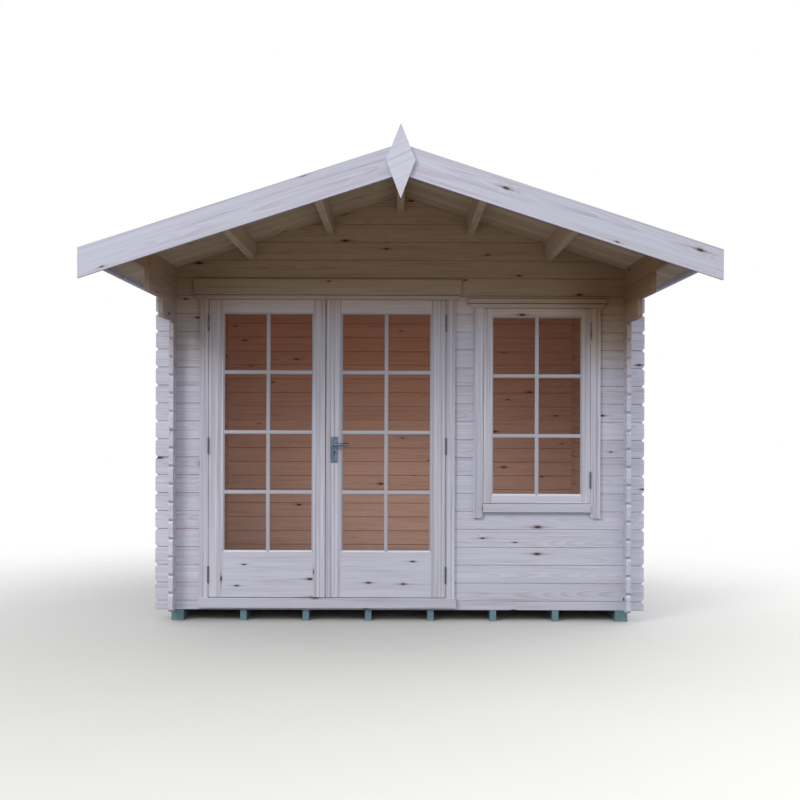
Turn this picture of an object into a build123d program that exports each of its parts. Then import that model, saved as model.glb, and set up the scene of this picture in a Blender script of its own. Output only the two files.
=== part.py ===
from build123d import *
import os
from math import cos, radians, tan

# A garden cabin of interlocking machined logs with a deep front overhang, double doors
# and one window. Lengths are in millimetres. +Z is up and the front faces -Y. The origin
# is on the ground, in the middle of the box that holds the whole cabin.

# The front wall from left to right
LEFT_MARGIN = 179.0
DOOR_FRAME_WIDTH = 1634.0
PIER_WIDTH = 118.0
WINDOW_FRAME_WIDTH = 811.0
RIGHT_MARGIN = 180.0

# Plan and roof
WALL_DEPTH = 2198.0
FRONT_OVERHANG = 1257.0
BACK_OVERHANG = 200.0
SIDE_OVERHANG = 250.0
ROOF_PITCH = 18.0

# Wall logs
LOG_THICKNESS = 28.0
COURSE = 115.0
COURSES_OVER_OPENINGS = 2
SILL_COURSES = 5
EAR_LENGTH = 105.0
EAR_CUT = 15.0
LOG_EDGE = 4.0
LOG_GAP = 0.3
NOTCH_CLEARANCE = 0.3
SHORT_BRACKET = 420.0
LONG_BRACKET = 793.0
BRACKET_CUT = 22.0

# Bearers and floor
BEARER_HEIGHT = 70.0
BEARER_WIDTH = 40.0
OUTER_BEARER_WIDTH = 78.0
BEARER_PITCH = 400.0
FLOOR_THICKNESS = 19.0

# Purlins, roof skin and trim
PURLIN_WIDTH = 44.0
PURLIN_DEPTH = 105.0
UPPER_PURLIN_PLACE = 447.0
ROOF_BOARD_THICKNESS = 19.0
FELT_THICKNESS = 3.0
FASCIA_WIDTH = 154.0
FASCIA_THICKNESS = 19.0
FASCIA_RISE = 32.0
EAVES_TRIM_THICKNESS = 18.0
EAVES_TRIM_HEIGHT = 45.0
FINIAL_WIDTH = 156.0
FINIAL_THICKNESS = 18.0
FINIAL_ABOVE = 194.0
FINIAL_BELOW = 203.0
FINIAL_DROP = 59.0

# Frames round the openings
FRAME_PROUD = 20.0
FRAME_LAP = 30.0
STOP_WIDTH = 20.0
SEAT = 0.3
MOVING_GAP = 5.0
HEAD_BOARD_THICKNESS = 24.0
HEAD_BOARD_LIP = 19.0
HEAD_BOARD_BACK = 14.0
HEAD_BOARD_CUT = 30.0

# Double doors
DOOR_JAMB_FACE = 56.0
DOOR_HEAD_THICKNESS = 23.5
DOOR_BOTTOM = 84.0
DOOR_HEIGHT = 1900.0
LEAF_THICKNESS = 40.0
OUTER_STILE = 89.5
LEFT_MEETING_STILE = 77.0
RIGHT_MEETING_STILE = 96.0
TOP_RAIL = 81.0
BOTTOM_RAIL = 288.0
DOOR_PANE_ROWS = 4
THRESHOLD_LAP = 9.0
THRESHOLD_PROUD = 28.0
THRESHOLD_DROP = 63.0
THRESHOLD_EDGE = 3.0
DOOR_HEAD_BOARD_HEIGHT = 126.0
DOOR_HEAD_BOARD_LAP = 38.0
MEETING_STRIP_WIDTH = 24.0
MEETING_STRIP_THICKNESS = 8.0
ASTRAGAL_WIDTH = 28.0
ASTRAGAL_THICKNESS = 10.0
STRIP_EDGE = 3.0

# Glazing
GLASS_THICKNESS = 4.0
BEAD_WIDTH = 10.0
BEAD_SETBACK = 4.0
GLAZING_BAR_WIDTH = 25.0

# Window
WINDOW_JAMB_FACE = 62.0
WINDOW_HEAD_THICKNESS = 77.0
WINDOW_FOOT = 40.0
WINDOW_FOOT_CUT = 14.0
SILL_HEIGHT = 53.0
SILL_PROUD = 34.0
SASH_GAP = 3.0
SASH_THICKNESS = 40.0
SASH_STILE = 51.0
SASH_RAIL = 49.0
WINDOW_PANE_ROWS = 3
WINDOW_HEAD_BOARD_HEIGHT = 74.0
WINDOW_HEAD_BOARD_LAP = 37.0
LIP_PLACE = 8.0
MOULDING_PLACE = 32.0
MOULDING_TOP = 62.0

# Hinges and door handle
HINGE_HEIGHT = 106.0
HINGE_RADIUS = 5.0
HINGE_GAP = 0.4
HINGE_FROM_BOTTOM = 144.0
HINGE_OVER_MIDDLE = 16.0
HINGE_FROM_TOP = 146.0
WINDOW_HINGE_FROM_BOTTOM = 149.0
WINDOW_HINGE_FROM_TOP = 143.0
PLATE_WIDTH = 44.0
PLATE_HEIGHT = 165.0
PLATE_THICKNESS = 6.0
PLATE_EDGE = 2.0
PLATE_BELOW_LEVER = 115.0
LEVER_HEIGHT_ON_LEAF = 976.0
LEVER_LENGTH = 99.0
LEVER_WIDTH = 20.0
LEVER_THICKNESS = 14.0
LEVER_REACH = 46.0
LEVER_EDGE = 5.0
NECK_RADIUS = 9.0
SPINDLE_SIDE = 8.0
SPINDLE_CLEARANCE = 0.5
KEYHOLE_WIDTH = 10.0
KEYHOLE_HEIGHT = 33.0
KEYHOLE_DROP = 55.0

# Places that follow from the sizes above
SLOPE = tan(radians(ROOF_PITCH))
HALF_WIDTH = (LEFT_MARGIN + DOOR_FRAME_WIDTH + PIER_WIDTH + WINDOW_FRAME_WIDTH + RIGHT_MARGIN) / 2
HALF_ROOF = HALF_WIDTH + SIDE_OVERHANG
SIDE_LINE = HALF_WIDTH - LOG_THICKNESS / 2
FRONT = (FRONT_OVERHANG + FINIAL_THICKNESS - WALL_DEPTH - BACK_OVERHANG) / 2
BACK = FRONT + WALL_DEPTH
FRONT_LINE = FRONT + LOG_THICKNESS / 2
BACK_LINE = BACK - LOG_THICKNESS / 2
FASCIA_FRONT = FRONT - FRONT_OVERHANG
FASCIA_BACK = BACK + BACK_OVERHANG
ROOF_START = FASCIA_FRONT + FASCIA_THICKNESS
ROOF_END = FASCIA_BACK - FASCIA_THICKNESS
WALL_BASE = BEARER_HEIGHT
FIRST_JOINT = WALL_BASE + COURSE / 2
LEAF_BOTTOM = WALL_BASE + DOOR_BOTTOM
LEAF_TOP = LEAF_BOTTOM + DOOR_HEIGHT
THRESHOLD_TOP = LEAF_BOTTOM - MOVING_GAP
DOOR_HEAD = LEAF_TOP + MOVING_GAP
OPENING_TOP = DOOR_HEAD + DOOR_HEAD_THICKNESS
OPENING_COURSES = int(round((OPENING_TOP - FIRST_JOINT) / COURSE, 3))
SIDE_COURSES = OPENING_COURSES + COURSES_OVER_OPENINGS
GABLE_BASE = FIRST_JOINT + SIDE_COURSES * COURSE
RIDGE = WALL_BASE + SIDE_COURSES * COURSE + SLOPE * SIDE_LINE
BOARD_RISE = ROOF_BOARD_THICKNESS / cos(radians(ROOF_PITCH))
FELT_RISE = FELT_THICKNESS / cos(radians(ROOF_PITCH))
LOWER_PURLIN_PLACE = (RIDGE - PURLIN_DEPTH - GABLE_BASE) / SLOPE
FRAME_BACK = FRONT + LOG_THICKNESS + FRAME_PROUD
FRAME_FRONT = FRONT - FRAME_PROUD
NOTCH_WIDTH = LOG_THICKNESS + 2 * NOTCH_CLEARANCE
STOP_FRONT = FRAME_FRONT + LEAF_THICKNESS + MOVING_GAP
DOOR_PLACE = LEFT_MARGIN - HALF_WIDTH
DOOR_END = DOOR_PLACE + DOOR_FRAME_WIDTH
WINDOW_PLACE = DOOR_END + PIER_WIDTH
WINDOW_END = WINDOW_PLACE + WINDOW_FRAME_WIDTH
LEFT_LEAF_START = DOOR_PLACE + DOOR_JAMB_FACE + MOVING_GAP
RIGHT_LEAF_END = DOOR_END - DOOR_JAMB_FACE - MOVING_GAP
PANE_FIELD = (
    RIGHT_LEAF_END - LEFT_LEAF_START - MOVING_GAP
    - 2 * OUTER_STILE - LEFT_MEETING_STILE - RIGHT_MEETING_STILE
) / 2
LEFT_LEAF_END = LEFT_LEAF_START + OUTER_STILE + PANE_FIELD + LEFT_MEETING_STILE
RIGHT_LEAF_START = LEFT_LEAF_END + MOVING_GAP
HINGE_LINE = FRAME_FRONT - HINGE_RADIUS - SEAT
LEFT_HINGE = LEFT_LEAF_START - MOVING_GAP / 2
RIGHT_HINGE = RIGHT_LEAF_END + MOVING_GAP / 2
SILL_TOP = FIRST_JOINT + SILL_COURSES * COURSE + SILL_HEIGHT
WINDOW_HEAD = OPENING_TOP - WINDOW_HEAD_THICKNESS
SASH_BOTTOM = SILL_TOP + SASH_GAP
SASH_TOP = WINDOW_HEAD - SASH_GAP
SASH_START = WINDOW_PLACE + WINDOW_JAMB_FACE + SASH_GAP
SASH_END = WINDOW_END - WINDOW_JAMB_FACE - SASH_GAP
DOOR_HINGES = (
    LEAF_BOTTOM + HINGE_FROM_BOTTOM,
    (LEAF_BOTTOM + LEAF_TOP) / 2 + HINGE_OVER_MIDDLE,
    LEAF_TOP - HINGE_FROM_TOP,
)
WINDOW_HINGES = (SASH_BOTTOM + WINDOW_HINGE_FROM_BOTTOM, SASH_TOP - WINDOW_HINGE_FROM_TOP)
HANDLE_LINE = RIGHT_LEAF_START + RIGHT_MEETING_STILE / 2 + BEAD_WIDTH / 2
LEVER_LINE = LEAF_BOTTOM + LEVER_HEIGHT_ON_LEAF
LEAF_BACK = FRAME_FRONT + LEAF_THICKNESS
SPINDLE_REACH = SPINDLE_SIDE / 2 ** 0.5 + SPINDLE_CLEARANCE
WALL_REACH = HALF_WIDTH + EAR_LENGTH
CORNERS = (-SIDE_LINE, SIDE_LINE)
SQUARE = (0.0, 0.0, 0.0, 0.0)
EAR_CUTS = (EAR_CUT, EAR_CUT, EAR_CUT, EAR_CUT)
LEFT_EAR_CUTS = (EAR_CUT, EAR_CUT, 0.0, 0.0)
RIGHT_EAR_CUTS = (0.0, 0.0, EAR_CUT, EAR_CUT)
PURLIN_PLACES = (
    0, UPPER_PURLIN_PLACE, -UPPER_PURLIN_PLACE, LOWER_PURLIN_PLACE, -LOWER_PURLIN_PLACE,
)


def underside(x):
    """Height of the roof boards' lower face at a distance x from the ridge line."""
    return RIDGE - SLOPE * abs(x)


def block(x0, x1, y0, y1, z0, z1):
    middle = Pos((x0 + x1) / 2, (y0 + y1) / 2, (z0 + z1) / 2)
    return middle * Box(x1 - x0, y1 - y0, z1 - z0)


def outline(points):
    """A face from corner points, with points that repeat left out."""
    corners = [point for n, point in enumerate(points) if point != points[n - 1]]
    return make_face(Polyline(*corners, close=True))


def along_x(points, start, end):
    """A bar along X whose section has (y, z) points."""
    return extrude(Plane.YZ.offset(start) * outline(points), amount=end - start)


def along_y(points, start, end):
    """A bar along Y whose section has (x, z) points."""
    return extrude(Plane.XZ.offset(-end) * outline(points), amount=end - start)


def along_z(points, start, end):
    """A bar along Z whose section has (x, y) points."""
    return extrude(Plane.XY.offset(start) * outline(points), amount=end - start)


def joined(*shapes):
    """One node from shapes that may each hold several solids."""
    return Compound([solid for shape in shapes for solid in shape.solids()])


def mirrored(shape):
    return mirror(shape, about=Plane.YZ)


# Log walls

def log(start, end, course, crossings=(), cuts=SQUARE, low=None, high=None, notched=(True, True)):
    """A log along X on the plane Y 0, whose course begins at the height course.

    crossings are the places where another wall's logs pass through it, a quarter of the
    way up and down, and notched says whether it is notched below and above. cuts are the
    corners taken off its ends: start low, start high, end low and end high. low and high
    replace the course's own bottom and top. The long edges of its outer face, towards -Y,
    are eased, which leaves a V along each joint.
    """
    bottom = course if low is None else low
    top = (course + COURSE if high is None else high) - LOG_GAP
    start_low, start_high, end_low, end_high = cuts
    lower = [(start, bottom + start_low), (start + start_low, bottom)]
    upper = [(start, top - start_high), (start + start_high, top)]
    for place in crossings:
        near, far = place - NOTCH_WIDTH / 2, place + NOTCH_WIDTH / 2
        if notched[0]:
            seat = course + COURSE / 4 + LOG_GAP / 2
            lower += [(near, bottom), (near, seat), (far, seat), (far, bottom)]
        if notched[1]:
            seat = course + COURSE * 3 / 4 - LOG_GAP / 2
            upper += [(near, top), (near, seat), (far, seat), (far, top)]
    lower += [(end - end_low, bottom), (end, bottom + end_low)]
    upper += [(end - end_high, top), (end, top - end_high)]
    half = LOG_THICKNESS / 2
    elevation = along_y(lower + upper[::-1], -half, half)
    section = [
        (-half, bottom + LOG_EDGE), (-half + LOG_EDGE, bottom), (half, bottom),
        (half, top), (-half + LOG_EDGE, top), (-half, top - LOG_EDGE),
    ]
    return elevation & along_x(section, start, end)


def roof_room():
    """The space under the roof boards, which cuts the logs that meet them."""
    points = [
        (-HALF_ROOF, WALL_BASE), (HALF_ROOF, WALL_BASE), (HALF_ROOF, underside(HALF_ROOF) - SEAT),
        (0, RIDGE - SEAT), (-HALF_ROOF, underside(HALF_ROOF) - SEAT),
    ]
    return along_y(points, FASCIA_FRONT, FASCIA_BACK)


def purlin_section(place):
    """Section of a purlin, its top bevelled to the roof."""
    near, far = place - PURLIN_WIDTH / 2, place + PURLIN_WIDTH / 2
    base = underside(place) - PURLIN_DEPTH
    ridge = [(place, RIDGE - SEAT)] if place == 0 else []
    top = [(far, underside(far) - SEAT)] + ridge + [(near, underside(near) - SEAT)]
    return [(near, base), (far, base)] + top


def purlin_notches():
    """What the purlins take out of the gables, open to the roof."""
    half = PURLIN_WIDTH / 2 + NOTCH_CLEARANCE
    slots = []
    for place in PURLIN_PLACES:
        base = underside(place) - PURLIN_DEPTH - NOTCH_CLEARANCE
        slots.append(block(place - half, place + half, FRONT, BACK, base, RIDGE))
    return joined(*slots)


def front_course(number):
    """Bottom of a course of the front or back wall; course 0 is the half log."""
    return FIRST_JOINT + (number - 1) * COURSE


def half_log():
    cuts = (0.0, EAR_CUT, 0.0, EAR_CUT)
    return log(
        -WALL_REACH, WALL_REACH, front_course(0), CORNERS, cuts, low=WALL_BASE, notched=(False, True))


def full_logs(first, last):
    return [log(-WALL_REACH, WALL_REACH, front_course(n), CORNERS, EAR_CUTS) for n in range(first, last + 1)]


def gable(room):
    """The course at the eaves, bevelled to the roof over its ears, and the logs up to the peak."""
    cuts = (EAR_CUT, 0.0, EAR_CUT, 0.0)
    eaves_log = log(
        -WALL_REACH, WALL_REACH, GABLE_BASE - COURSE, CORNERS, cuts, notched=(True, False))
    count = round((RIDGE - GABLE_BASE) / COURSE)
    logs = []
    for n in range(count):
        high = RIDGE if n == count - 1 else None
        logs.append(log(-WALL_REACH, WALL_REACH, GABLE_BASE + n * COURSE, high=high))
    return [eaves_log & room] + ((joined(*logs) & room) - purlin_notches()).solids()


def side_wall(room):
    """The right-hand wall, with its bracket logs that step out under the roof."""
    last = SIDE_COURSES - 1
    reaches = {
        last: FRONT_OVERHANG - FASCIA_THICKNESS, last - 1: LONG_BRACKET, last - 2: SHORT_BRACKET,
    }
    logs = []
    for n in range(SIDE_COURSES):
        course = WALL_BASE + n * COURSE
        start = FRONT - reaches.get(n, EAR_LENGTH)
        end = BACK + EAR_LENGTH
        cuts = (BRACKET_CUT, 0.0, EAR_CUT, EAR_CUT) if n in reaches else EAR_CUTS
        high = None
        if n == last:
            end = ROOF_END
            cuts = SQUARE
            high = course + COURSE + SLOPE * LOG_THICKNESS
        logs.append(log(start, end, course, (FRONT_LINE, BACK_LINE), cuts, high=high))
    return (Pos(SIDE_LINE, 0, 0) * Rot(0, 0, 90) * joined(*logs)) & room


def placed(line, logs):
    return joined(*[Pos(0, line, 0) * piece for piece in logs])


def short_logs(start, end, first, last, crossings=(), cuts=SQUARE):
    """Logs of the front wall that stop at an opening."""
    logs = [log(start, end, front_course(n), crossings, cuts) for n in range(first, last + 1)]
    return placed(FRONT_LINE, logs)


def front_wall(upper_logs):
    door_left = DOOR_PLACE + FRAME_LAP
    door_right = DOOR_END - FRAME_LAP
    window_left = WINDOW_PLACE + FRAME_LAP
    window_right = WINDOW_END - FRAME_LAP
    above_sill = SILL_COURSES + 1
    right = (SIDE_LINE,)
    over = placed(FRONT_LINE, upper_logs)
    joint = front_course(OPENING_COURSES + 1)
    if OPENING_TOP > joint + LOG_GAP:
        for start, end in ((door_left, door_right), (window_left, window_right)):
            over = joined(over) - block(start, end, FRONT, FRONT + LOG_THICKNESS, joint, OPENING_TOP)
    return {
        "front_wall_base": joined(placed(FRONT_LINE, [half_log()]), short_logs(
            door_right, WALL_REACH, 1, SILL_COURSES, right, RIGHT_EAR_CUTS)),
        "front_wall_left": short_logs(
            -WALL_REACH, door_left, 1, OPENING_COURSES, (-SIDE_LINE,), LEFT_EAR_CUTS),
        "front_wall_pier": short_logs(door_right, window_left, above_sill, OPENING_COURSES),
        "front_wall_right": short_logs(
            window_right, WALL_REACH, above_sill, OPENING_COURSES, right, RIGHT_EAR_CUTS),
        "front_gable": joined(over),
    }


def back_wall(upper_logs):
    """The same courses as in front, without openings and with the outer face turned round."""
    logs = [half_log()] + full_logs(1, OPENING_COURSES) + upper_logs
    return placed(BACK_LINE, [mirror(piece, about=Plane.XZ) for piece in logs])


# Base

def bearers():
    """Treated bearers from front to back, the outer pair wider, under the side walls."""
    bars = []
    inner_pairs = int(HALF_WIDTH / BEARER_PITCH)
    for side in (-1, 1):
        outer = side * (HALF_WIDTH - OUTER_BEARER_WIDTH / 2)
        places = [(side * (n + 0.5) * BEARER_PITCH, BEARER_WIDTH) for n in range(inner_pairs)]
        for middle, width in places + [(outer, OUTER_BEARER_WIDTH)]:
            bars.append(block(middle - width / 2, middle + width / 2, FRONT, BACK, 0, BEARER_HEIGHT))
    return joined(*bars)


def floor():
    half = HALF_WIDTH - LOG_THICKNESS - SEAT
    front = FRONT + LOG_THICKNESS + SEAT
    back = BACK - LOG_THICKNESS - SEAT
    return block(-half, half, front, back, WALL_BASE, WALL_BASE + FLOOR_THICKNESS)


# Roof

def purlins():
    bars = {place: along_y(purlin_section(place), ROOF_START, ROOF_END) for place in PURLIN_PLACES}
    return {
        "ridge_purlin": bars[0],
        "side_purlins": joined(*[bars[place] for place in PURLIN_PLACES[1:]]),
    }


def roof_layer(rise, thickness, end):
    """The right-hand half of a layer that lies rise above the boards' lower face."""
    inner = SEAT / 2
    low, high = rise, rise + thickness
    points = [
        (inner, underside(inner) + low), (end, underside(end) + low),
        (end, underside(end) + high), (inner, underside(inner) + high),
    ]
    return along_y(points, ROOF_START, ROOF_END)


def eaves_trims():
    inner = HALF_ROOF - EAVES_TRIM_THICKNESS
    outer_top = underside(HALF_ROOF) + BOARD_RISE
    inner_top = underside(inner) + BOARD_RISE
    points = [
        (inner, inner_top - EAVES_TRIM_HEIGHT), (HALF_ROOF, outer_top - EAVES_TRIM_HEIGHT),
        (HALF_ROOF, outer_top), (inner, inner_top),
    ]
    right = along_y(points, ROOF_START, ROOF_END)
    return joined(right, mirrored(right))


def fascia(start):
    """Two boards up the gable's slopes, mitred at the ridge and plumb at the eaves."""
    width = FASCIA_WIDTH / cos(radians(ROOF_PITCH))
    inner = SEAT / 2
    inner_top = underside(inner) + FASCIA_RISE
    outer_top = underside(HALF_ROOF) + FASCIA_RISE
    points = [
        (inner, inner_top - width), (HALF_ROOF, outer_top - width), (HALF_ROOF, outer_top),
        (inner, inner_top),
    ]
    right = along_y(points, start, start + FASCIA_THICKNESS)
    return joined(right, mirrored(right))


def finial():
    """A long diamond over the mitre of the front boards."""
    middle = RIDGE - FINIAL_DROP
    half = FINIAL_WIDTH / 2
    points = [(0, middle - FINIAL_BELOW), (half, middle), (0, middle + FINIAL_ABOVE), (-half, middle)]
    return along_y(points, FASCIA_FRONT - FINIAL_THICKNESS, FASCIA_FRONT)


# Frames

def jamb(start, face, stop, bottom, top):
    """A left-hand jamb: a channel over the log ends, with a rebate for the leaf."""
    groove_front = FRONT - SEAT
    groove_back = FRONT + LOG_THICKNESS + SEAT
    groove_end = start + FRAME_LAP + SEAT
    points = [
        (start, FRAME_FRONT), (start + face, FRAME_FRONT), (start + face, STOP_FRONT),
        (start + face + stop, STOP_FRONT), (start + face + stop, FRAME_BACK), (start, FRAME_BACK),
        (start, groove_back), (groove_end, groove_back), (groove_end, groove_front), (start, groove_front),
    ]
    return along_z(points, bottom, top)


def opposite(shape, start, end):
    """The same piece for the other side of an opening that runs from start to end."""
    return mirror(shape, about=Plane.YZ.offset((start + end) / 2))


def frame_head(start, end, face, base, stop):
    """A head between the log ends, with a lip behind the leaf and a flange up the wall inside."""
    log_back = FRONT + LOG_THICKNESS + SEAT
    top = OPENING_TOP - LOG_GAP
    inset = FRAME_LAP + SEAT
    web = block(start + inset, end - inset, FRONT - SEAT, log_back, base, top)
    flange = block(start, end, log_back, FRAME_BACK, base, top + FRAME_LAP)
    inner = face + stop + SEAT
    lip = block(start + inner, end - inner, STOP_FRONT, FRAME_BACK, base - stop, base)
    return web + flange + lip


def door_frame():
    stop_width = MOVING_GAP + STOP_WIDTH
    left = jamb(DOOR_PLACE, DOOR_JAMB_FACE, stop_width, THRESHOLD_TOP + SEAT, DOOR_HEAD - SEAT)
    stop_start = DOOR_PLACE + DOOR_JAMB_FACE + stop_width + SEAT
    stop_end = DOOR_END - DOOR_JAMB_FACE - stop_width - SEAT
    return {
        "door_jambs": joined(left, opposite(left, DOOR_PLACE, DOOR_END)),
        "door_head": frame_head(DOOR_PLACE, DOOR_END, DOOR_JAMB_FACE, DOOR_HEAD, stop_width),
        "door_threshold": threshold(stop_start, stop_end),
    }


def threshold(stop_start, stop_end):
    """A saddle over the bottom log, with a nose in front and a stop behind the leaves."""
    start = DOOR_PLACE - THRESHOLD_LAP
    end = DOOR_END + THRESHOLD_LAP
    nose = FRONT - THRESHOLD_PROUD
    nose_bottom = THRESHOLD_TOP - THRESHOLD_DROP
    nose_points = [
        (nose, nose_bottom), (FRONT - SEAT, nose_bottom), (FRONT - SEAT, THRESHOLD_TOP),
        (nose + THRESHOLD_EDGE, THRESHOLD_TOP), (nose, THRESHOLD_TOP - THRESHOLD_EDGE),
    ]
    log_back = FRONT + LOG_THICKNESS + SEAT
    floor_top = WALL_BASE + FLOOR_THICKNESS + SEAT
    front_piece = along_x(nose_points, start, end)
    log_start = DOOR_PLACE + FRAME_LAP + SEAT
    log_end = DOOR_END - FRAME_LAP - SEAT
    saddle = block(log_start, log_end, FRONT - SEAT, log_back, FIRST_JOINT, THRESHOLD_TOP)
    back_piece = block(start, end, log_back, FRAME_BACK, floor_top, THRESHOLD_TOP)
    stop = block(stop_start, stop_end, STOP_FRONT, FRAME_BACK, THRESHOLD_TOP, THRESHOLD_TOP + STOP_WIDTH)
    return front_piece + saddle + back_piece + stop


def head_board(start, end, base, height, lap, layers):
    """A board over the top of a frame, its lower corners cut away and its face moulded.

    Each of the layers is a height above base and the board's thickness from there up.
    """
    left, right, top = start - lap, end + lap, base + height
    back = FRONT - SEAT
    section = [(back, base)]
    for low, thickness in layers:
        section += [(section[-1][0], base + low), (back - thickness, base + low)]
    section += [(section[-1][0], top), (back, top)]
    corners = [
        (left, base + HEAD_BOARD_CUT), (left + HEAD_BOARD_CUT, base), (right - HEAD_BOARD_CUT, base),
        (right, base + HEAD_BOARD_CUT), (right, top), (left, top),
    ]
    return along_x(section, left, right) & along_y(corners, back - HEAD_BOARD_THICKNESS, back)


def head_boards():
    """A deep board with a lip below over the doors, and a moulded one over the window."""
    door_layers = [(0, HEAD_BOARD_BACK), (HEAD_BOARD_CUT, HEAD_BOARD_THICKNESS)]
    window_layers = [
        (0, HEAD_BOARD_BACK), (LIP_PLACE, HEAD_BOARD_LIP), (MOULDING_PLACE, HEAD_BOARD_THICKNESS),
        (MOULDING_TOP, HEAD_BOARD_BACK),
    ]
    return joined(
        head_board(
            DOOR_PLACE, DOOR_END, DOOR_HEAD, DOOR_HEAD_BOARD_HEIGHT, DOOR_HEAD_BOARD_LAP, door_layers),
        head_board(
            WINDOW_PLACE, WINDOW_END, WINDOW_HEAD, WINDOW_HEAD_BOARD_HEIGHT, WINDOW_HEAD_BOARD_LAP,
            window_layers))


def window_frame():
    """Jambs whose outer face runs down past the sill, the sill between them and the head."""
    sill_base = FIRST_JOINT + SILL_COURSES * COURSE
    stop_width = SASH_GAP + STOP_WIDTH
    body = jamb(WINDOW_PLACE, WINDOW_JAMB_FACE, stop_width, SILL_TOP, WINDOW_HEAD - SEAT)
    foot_base = sill_base - WINDOW_FOOT
    inner = WINDOW_PLACE + WINDOW_JAMB_FACE
    foot_points = [
        (WINDOW_PLACE, foot_base), (inner - WINDOW_FOOT_CUT, foot_base), (inner, foot_base + WINDOW_FOOT_CUT),
        (inner, SILL_TOP), (WINDOW_PLACE, SILL_TOP),
    ]
    foot = along_y(foot_points, FRAME_FRONT, FRONT - SEAT)
    left = body + foot
    nose_start, nose_end = inner + SEAT, WINDOW_END - WINDOW_JAMB_FACE - SEAT
    nose = FRONT - SILL_PROUD
    nose_points = [
        (nose, sill_base), (FRONT, sill_base), (FRONT, SILL_TOP - SEAT), (FRAME_FRONT, SILL_TOP - SEAT),
        (nose, SILL_TOP - SEAT - (SILL_PROUD - FRAME_PROUD) / 2),
    ]
    body_start, body_end = WINDOW_PLACE + FRAME_LAP + SEAT, WINDOW_END - FRAME_LAP - SEAT
    sill = along_x(nose_points, nose_start, nose_end)
    sill += block(body_start, body_end, FRONT, FRAME_BACK, sill_base, SILL_TOP - SEAT)
    return {
        "window_jambs": joined(left, opposite(left, WINDOW_PLACE, WINDOW_END)),
        "window_head": frame_head(WINDOW_PLACE, WINDOW_END, WINDOW_JAMB_FACE, WINDOW_HEAD, stop_width),
        "window_sill": sill,
    }


# Leaves and sash

def lattice(x0, x1, z0, z1, rows, y0, y1):
    """Beads round a pane with one upright bar and level bars between the rows."""
    frame = block(x0, x1, y0, y1, z0, z1)
    pane_width = (x1 - x0 - 2 * BEAD_WIDTH - GLAZING_BAR_WIDTH) / 2
    pane_height = (z1 - z0 - 2 * BEAD_WIDTH - (rows - 1) * GLAZING_BAR_WIDTH) / rows
    for column in range(2):
        left = x0 + BEAD_WIDTH + column * (pane_width + GLAZING_BAR_WIDTH)
        for row in range(rows):
            low = z0 + BEAD_WIDTH + row * (pane_height + GLAZING_BAR_WIDTH)
            frame -= block(left, left + pane_width, y0, y1, low, low + pane_height)
    return frame


def leaf(name, x0, x1, z0, z1, thickness, stiles, rails, rows):
    """A glazed leaf: two stiles, two rails between them, glass, and bars on both faces."""
    front, back = FRAME_FRONT, FRAME_FRONT + thickness
    left_stile, right_stile = stiles
    bottom_rail, top_rail = rails
    inner_left, inner_right = x0 + left_stile + SEAT, x1 - right_stile - SEAT
    low, high = z0 + bottom_rail + SEAT, z1 - top_rail - SEAT
    middle = (front + back) / 2
    half_glass = GLASS_THICKNESS / 2
    bead_front = lattice(
        inner_left, inner_right, low, high, rows, front + BEAD_SETBACK, middle - half_glass - SEAT)
    bead_back = lattice(
        inner_left, inner_right, low, high, rows, middle + half_glass + SEAT, back - BEAD_SETBACK)
    return {
        name + "_stiles": joined(
            block(x0, x0 + left_stile, front, back, z0, z1),
            block(x1 - right_stile, x1, front, back, z0, z1)),
        name + "_rails": joined(
            block(inner_left, inner_right, front, back, z0, low - SEAT),
            block(inner_left, inner_right, front, back, high + SEAT, z1)),
        name + "_glazing_bars": joined(bead_front, bead_back),
        name + "_glass": block(inner_left, inner_right, middle - half_glass, middle + half_glass, low, high),
    }


def knuckle(line, side, bottom, top):
    """Half of a hinge: a barrel with a foot behind it that seats on the wood at its side."""
    barrel = Pos(line, HINGE_LINE, (bottom + top) / 2) * Cylinder(HINGE_RADIUS, top - bottom)
    near, far = sorted((line + side * (MOVING_GAP / 2 + SEAT), line + side * HINGE_RADIUS))
    foot = block(near, far, HINGE_LINE, FRAME_FRONT, bottom + HINGE_RADIUS, top - HINGE_RADIUS)
    return barrel + foot


def knuckles(line, side, middles, upper):
    """The halves of a leaf's hinges that the wood on one side carries."""
    half = HINGE_HEIGHT / 2
    halves = []
    for middle in middles:
        if upper:
            halves.append(knuckle(line, side, middle + HINGE_GAP / 2, middle + half))
        else:
            halves.append(knuckle(line, side, middle - half, middle - HINGE_GAP / 2))
    return joined(*halves)


def meeting_strip(start, width, thickness):
    """A moulding up the face of a meeting stile, its front edges eased."""
    face = FRAME_FRONT
    points = [
        (start, face), (start, face - thickness + STRIP_EDGE), (start + STRIP_EDGE, face - thickness),
        (start + width - STRIP_EDGE, face - thickness), (start + width, face - thickness + STRIP_EDGE),
        (start + width, face),
    ]
    return along_z(points, LEAF_BOTTOM, LEAF_TOP)


def tube_along_y(radius, x, z, start, end):
    return Pos(x, (start + end) / 2, z) * Rot(90, 0, 0) * Cylinder(radius, end - start)


def square_bar(width, height, middle, front, back):
    """A bar from front to back on the handle's centre line."""
    half = width / 2
    return block(
        HANDLE_LINE - half, HANDLE_LINE + half, front, back, middle - height / 2, middle + height / 2)


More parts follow.
